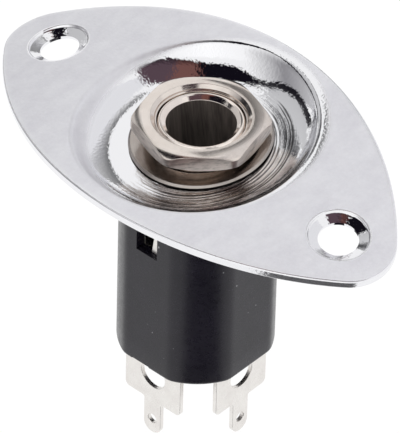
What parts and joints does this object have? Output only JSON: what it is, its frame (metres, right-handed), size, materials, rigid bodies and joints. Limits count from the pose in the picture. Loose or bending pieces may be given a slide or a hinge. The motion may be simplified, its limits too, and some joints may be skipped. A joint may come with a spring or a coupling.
{
  "type": "guitar jack plate",
  "caption": "Curved pointed-oval jack plate with a round dish, countersunk screw holes and an enclosed barrel jack whose solder lugs hang below.",
  "frame": {"origin": "middle of the plate's back, on the curved face that lies on the instrument, at the crown of the bend", "axes": "+Z out of the instrument at the crown, +X along the long axis of the plate, +Y across it"},
  "size_m": [0.048, 0.0256, 0.0351],
  "materials": {
    "plate_chrome": "polished",
    "nickel": "turned",
    "black_plastic": "satin",
    "contact_metal": "satin"
  },
  "bodies": {
    "root": {"jack_plate": "plate_chrome", "flat_washer": "nickel", "hex_nut": "nickel", "threaded_bushing": "nickel", "barrel_housing": "black_plastic", "tip_contact": "contact_metal", "sleeve_contact": "contact_metal"}
  },
  "joints": []
}
